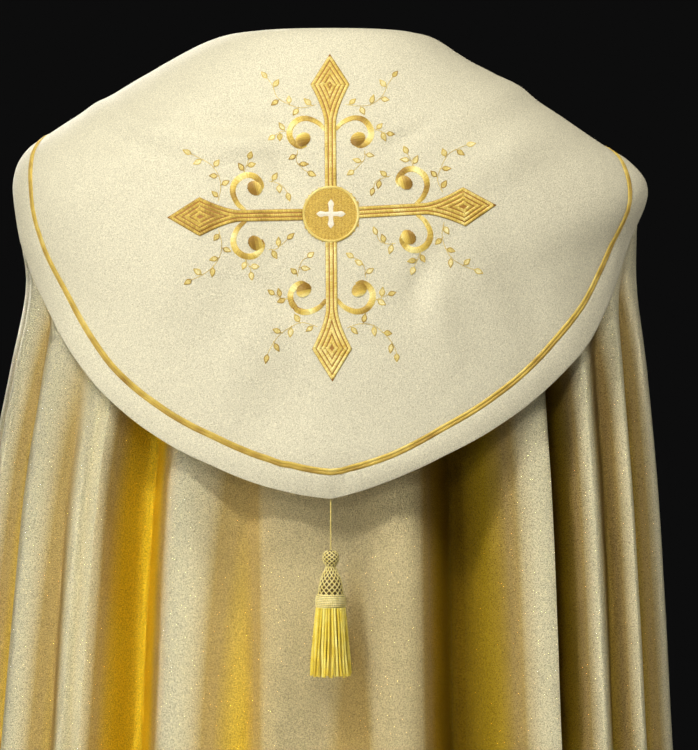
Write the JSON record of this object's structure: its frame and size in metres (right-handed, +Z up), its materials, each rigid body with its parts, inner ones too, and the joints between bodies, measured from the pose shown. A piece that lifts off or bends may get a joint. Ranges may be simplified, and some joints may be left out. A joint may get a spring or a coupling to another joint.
{
  "type": "cope vestment",
  "caption": "Full-length open cloak in three panels, closed at the chest by a plain morse tab, with a large shield-shaped hood that carries a raised cross, a gold braid and a hanging tassel.",
  "frame": {"origin": "middle of the neck opening, level with the neckline at the centre of the back, where the wearer's neck and shoulders hold the cope up", "axes": "+Z up, -Y the way the wearer faces, where the front opens, +Y the back with the hood, +X the wearer's left"},
  "size_m": [0.8498, 0.5985, 1.4037],
  "materials": {
    "cope_gold": "gold lame with a metallic sheen",
    "hood_ivory": "fine ivory grain with a soft sheen",
    "gold_thread": "satin-stitched gold thread",
    "tassel_gold": "glossy yellow-gold yarn"
  },
  "bodies": {
    "root": {"cope_back": "cope_gold", "cope_front_left": "cope_gold", "cope_front_right": "cope_gold", "hood": "hood_ivory", "hood_braid": "gold_thread", "cross_roundel": "gold_thread", "morse_tab": "hood_ivory", "tassel_cord": "tassel_gold", "tassel_head": "tassel_gold", "tassel_band": "tassel_gold", "tassel_skirt": "tassel_gold", "cross_arm_up": "gold_thread", "cross_arm_left": "gold_thread", "cross_arm_down": "gold_thread", "cross_arm_right": "gold_thread", "scroll_1": "gold_thread", "scroll_2": "gold_thread", "scroll_3": "gold_thread", "scroll_4": "gold_thread", "scroll_5": "gold_thread", "scroll_6": "gold_thread", "scroll_7": "gold_thread", "scroll_8": "gold_thread"}
  },
  "joints": []
}
